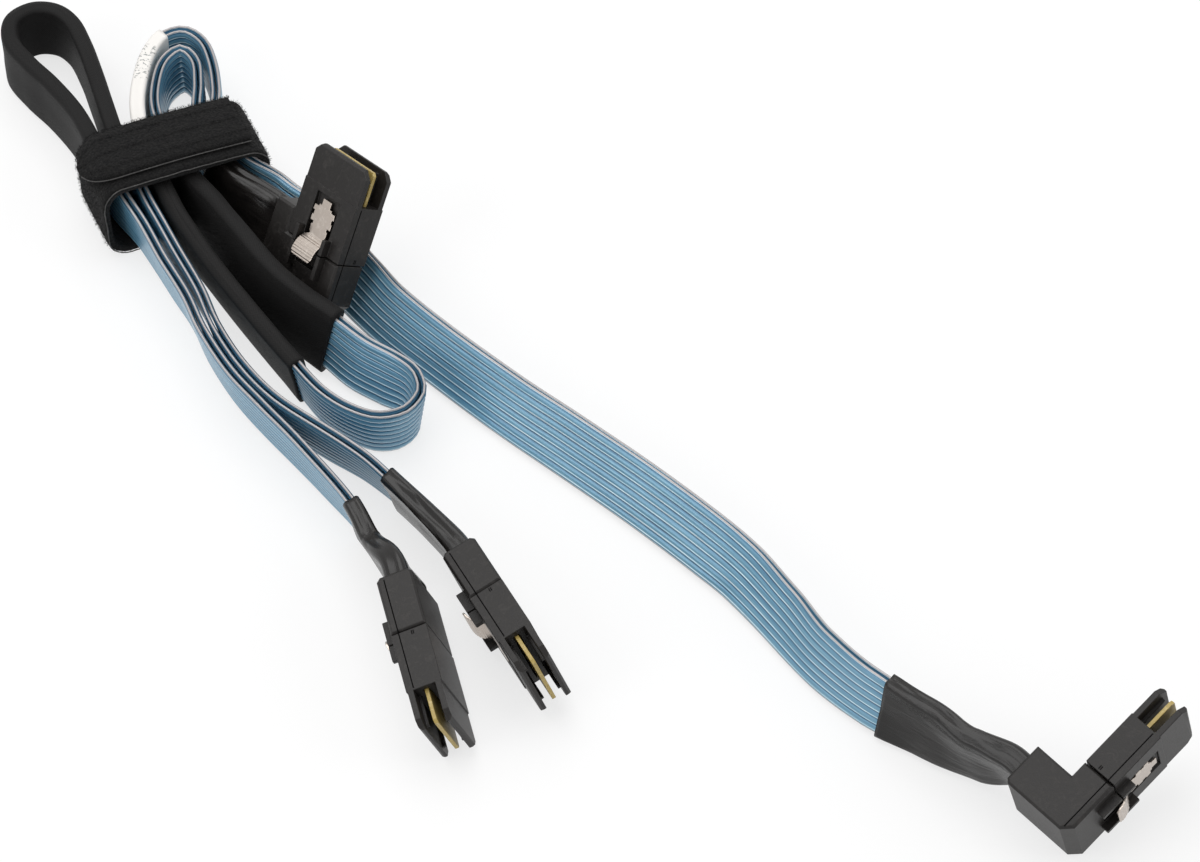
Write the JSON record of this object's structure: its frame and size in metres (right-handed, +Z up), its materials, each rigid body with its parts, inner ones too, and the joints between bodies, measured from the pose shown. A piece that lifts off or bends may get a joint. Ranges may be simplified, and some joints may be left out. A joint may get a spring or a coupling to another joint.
{
  "type": "internal storage cable bundle",
  "caption": "Strapped bundle of flat blue ribbon storage cables with fork-nosed latching plugs, heat-shrink boots, black sleeves and a label.",
  "frame": {"origin": "on the table under the middle of the box round the plugs, boots, sleeves, label and strap, without the bare ribbons", "axes": "+Z up from the table, +X to the right and +Y away from the side the bundle is looked at from"},
  "size_m": [0.3024, 0.2674, 0.0433],
  "materials": {
    "housing": "fine-grained charcoal moulding",
    "card": "circuit board with gold contacts",
    "latch_steel": "satin stamped spring steel",
    "blue_jacket": "pearly translucent ribbon jacket with ridges",
    "heat_shrink": "glossy wrinkled shrink tube",
    "sleeve": "matt woven tape",
    "label": "matt white label",
    "strap": "brushed loop fabric"
  },
  "bodies": {
    "bundle": {"plug_right_nose_housing": "housing", "plug_right_rear_shell": "housing", "plug_right_paddle_card": "card", "plug_upper_nose_housing": "housing", "plug_upper_rear_shell": "housing", "plug_upper_paddle_card": "card", "plug_left_nose_housing": "housing", "plug_left_rear_shell": "housing", "plug_left_paddle_card": "card", "plug_middle_nose_housing": "housing", "plug_middle_rear_shell": "housing", "plug_middle_paddle_card": "card", "cable_a_first_ribbon": "blue_jacket", "cable_a_second_ribbon": "blue_jacket", "cable_b_first_ribbon": "blue_jacket", "cable_b_second_ribbon": "blue_jacket", "boot_left": "heat_shrink", "boot_middle": "heat_shrink", "boot_right": "heat_shrink", "boot_upper": "heat_shrink", "sleeve_loop": "sleeve", "sleeve_narrow": "sleeve", "sleeve_wide": "sleeve", "label_wrap": "label", "strap_band": "strap"},
    "right_latch": {"plug_right_latch": "latch_steel"},
    "upper_latch": {"plug_upper_latch": "latch_steel"},
    "left_latch": {"plug_left_latch": "latch_steel"},
    "middle_latch": {"plug_middle_latch": "latch_steel"}
  },
  "joints": [
    {"name": "right_latch_press", "type": "hinge", "parent": "bundle", "child": "right_latch", "pos_m": [0.14136, -0.11391, 0.01935], "axis": [0.1862, 0.2689, -0.945], "range_deg": [0, 5], "stiffness_Nm_per_rad": 0.3},
    {"name": "upper_latch_press", "type": "hinge", "parent": "bundle", "child": "upper_latch", "pos_m": [-0.05992, 0.04988, 0.03177], "axis": [0.6241, -0.7398, 0.2514], "range_deg": [0, 5], "stiffness_Nm_per_rad": 0.3},
    {"name": "left_latch_press", "type": "hinge", "parent": "bundle", "child": "left_latch", "pos_m": [-0.03402, -0.09101, 0.01151], "axis": [0.2738, 0.1923, -0.9424], "range_deg": [0, 5], "stiffness_Nm_per_rad": 0.3},
    {"name": "middle_latch_press", "type": "hinge", "parent": "bundle", "child": "middle_latch", "pos_m": [-0.01271, -0.0798, 0.01302], "axis": [0.2862, 0.0423, -0.9572], "range_deg": [0, 5], "stiffness_Nm_per_rad": 0.3}
  ]
}
